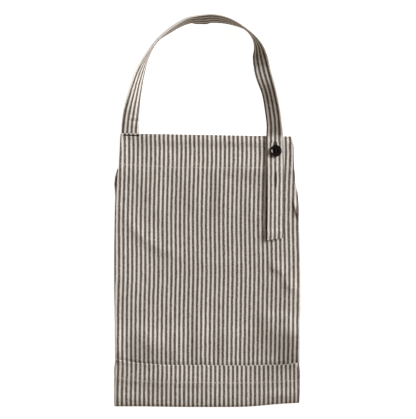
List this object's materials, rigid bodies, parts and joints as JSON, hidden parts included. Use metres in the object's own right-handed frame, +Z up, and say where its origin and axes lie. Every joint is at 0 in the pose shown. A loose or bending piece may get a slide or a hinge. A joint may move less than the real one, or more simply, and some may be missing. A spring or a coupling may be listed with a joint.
{
  "type": "folded bib apron",
  "caption": "Striped cloth bib apron folded flat, its side wings and skirt folded behind, with a hemmed patch pocket and a neck strap buttoned into a loop.",
  "frame": {"origin": "on the floor under the middle of the folded apron's box", "axes": "+Y from the folded skirt to the neck loop, +X to the right of the bib as seen from its front, +Z up from the floor, out of the bib's front face"},
  "size_m": [0.2806, 0.5879, 0.0262],
  "materials": {
    "striped_cloth": "matte plain weave, off-white with dark brown stripes",
    "button": "polished dark brown",
    "thread": "matte dark brown thread"
  },
  "bodies": {
    "root": {"apron_body": "striped_cloth", "pocket": "striped_cloth", "neck_strap": "striped_cloth", "button": "button", "button_thread": "thread"}
  },
  "joints": []
}
